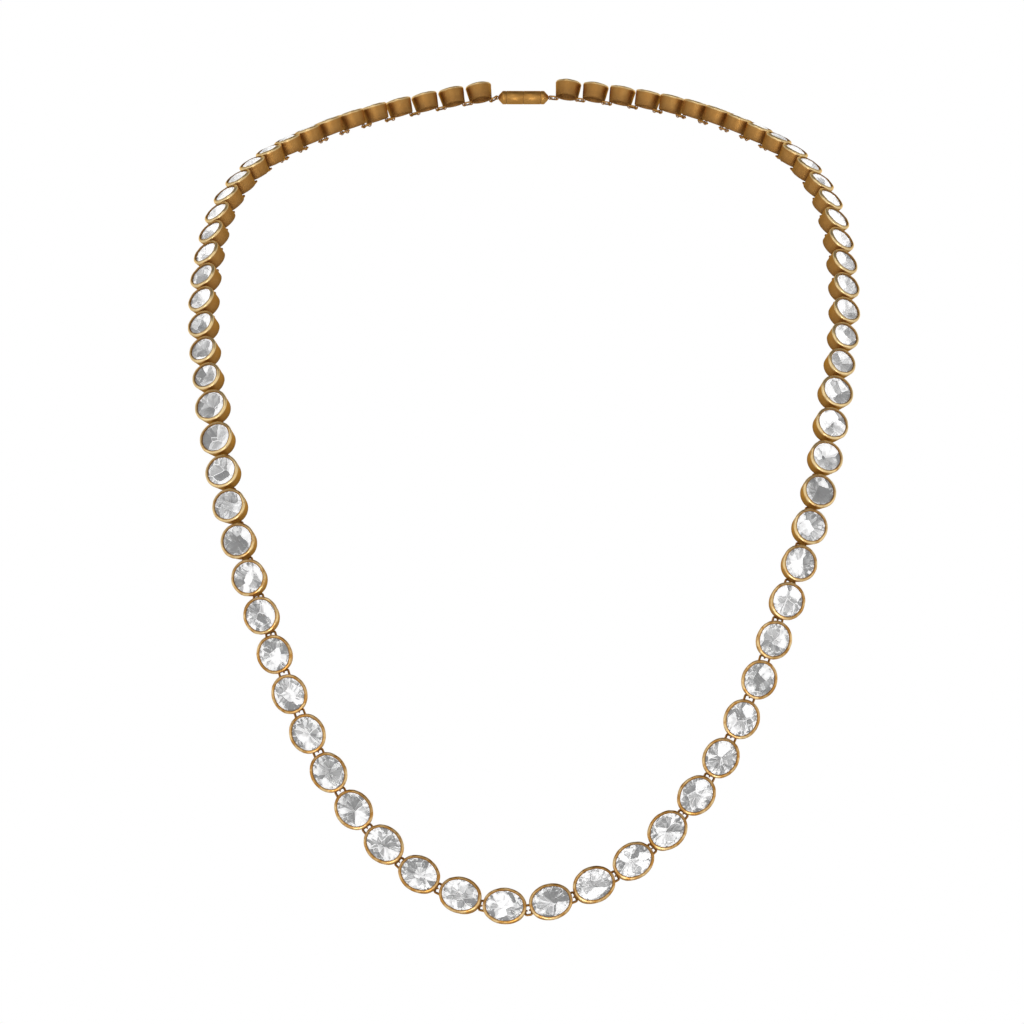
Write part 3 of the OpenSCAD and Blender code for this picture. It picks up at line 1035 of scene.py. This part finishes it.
def set_light(name, place, size, power, colour):
    lamp = bpy.data.lights.new(name, "AREA")
    lamp.shape = "DISK"
    lamp.size = size
    lamp.energy = power
    lamp.color = colour
    light = bpy.data.objects.new(name, lamp)
    light.location = place
    light.rotation_euler = (Vector(NECKLACE_MIDDLE) - Vector(place)).to_track_quat("-Z", "Y").to_euler()
    bpy.context.scene.collection.objects.link(light)


def set_surroundings():
    world = bpy.data.worlds.new("pale_surroundings")
    world.use_nodes = True
    bpy.context.scene.world = world
    graph = Graph(world.node_tree)
    direction = graph.node("ShaderNodeTexCoord", None, None, "Generated")
    height = graph.part(direction, "Z") * 0.5 + 0.5
    glow = graph.node("ShaderNodeValToRGB", {"stops": GLOW}, {0: height})
    # Paler straight in front of the necklace and straight behind it than at its sides
    back = graph.part(direction, "Y")
    glow = graph.vector("SCALE", glow, back * back * 0.33 + back * 0.065 + 0.7)
    seen = graph.node("ShaderNodeLightPath", None, None, "Is Camera Ray")
    colour = graph.mix(seen, glow, (1, 1, 1))
    sky = graph.node("ShaderNodeBackground", None, {"Color": colour, "Strength": 1.0})
    graph.node("ShaderNodeOutputWorld", None, {"Surface": sky})


def set_camera(looks):
    lens = bpy.data.cameras.new("camera")
    lens.sensor_width = SENSOR_MM
    lens.lens = SENSOR_MM * looks.camera_distance / looks.frame_width
    lens.clip_start, lens.clip_end = SEEN_FROM, SEEN_TO
    camera = bpy.data.objects.new("camera", lens)
    camera.location = (VIEW_X, VIEW_FRONT - looks.camera_distance, VIEW_Z)
    camera.rotation_euler = (math.pi / 2, 0, 0)
    bpy.context.scene.collection.objects.link(camera)
    bpy.context.scene.camera = camera


class NECKLACE_OT_studio(bpy.types.Operator):
    """Makes the floor, the soft lights, the pale surroundings and the camera"""
    bl_idname = "necklace.studio"
    bl_label = "Make Studio"

    def execute(self, context):
        looks = context.scene.necklace_studio
        set_floor(looks)
        for light in LIGHTS:
            set_light(*light)
        set_surroundings()
        set_camera(looks)
        context.scene.view_settings.view_transform = "Standard"
        return {"FINISHED"}


class NECKLACE_PT_panel(bpy.types.Panel):
    """Lists the pieces and their settings"""
    bl_idname = "NECKLACE_PT_panel"
    bl_label = "Collet Necklace"
    bl_space_type = "VIEW_3D"
    bl_region_type = "UI"
    bl_category = "Necklace"

    def draw(self, context):
        for title in GROUPS:
            group = getattr(context.scene, title)
            box = self.layout.box()
            for name in group.bl_rna.properties.keys():
                if name not in ("rna_type", "name"):
                    box.prop(group, name)
        for maker in MAKERS:
            self.layout.operator(maker.bl_idname)


GROUPS = {"necklace_gold": NecklaceGold, "necklace_stones": NecklaceStones,
          "necklace_studio": NecklaceStudio}
MAKERS = (NECKLACE_OT_settings, NECKLACE_OT_stones, NECKLACE_OT_links, NECKLACE_OT_clasp,
          NECKLACE_OT_studio)


def register():
    for cls in (*GROUPS.values(), *MAKERS, NECKLACE_PT_panel):
        bpy.utils.register_class(cls)
    for name, group in GROUPS.items():
        setattr(bpy.types.Scene, name, PointerProperty(type=group))


def unregister():
    for name in GROUPS:
        delattr(bpy.types.Scene, name)
    for cls in (NECKLACE_PT_panel, *reversed(MAKERS), *reversed(GROUPS.values())):
        bpy.utils.unregister_class(cls)


def main():
    register()
    bpy.ops.necklace.settings()
    bpy.ops.necklace.stones()
    bpy.ops.necklace.links()
    bpy.ops.necklace.clasp()
    bpy.ops.necklace.studio()


if __name__ == "__main__":
    main()
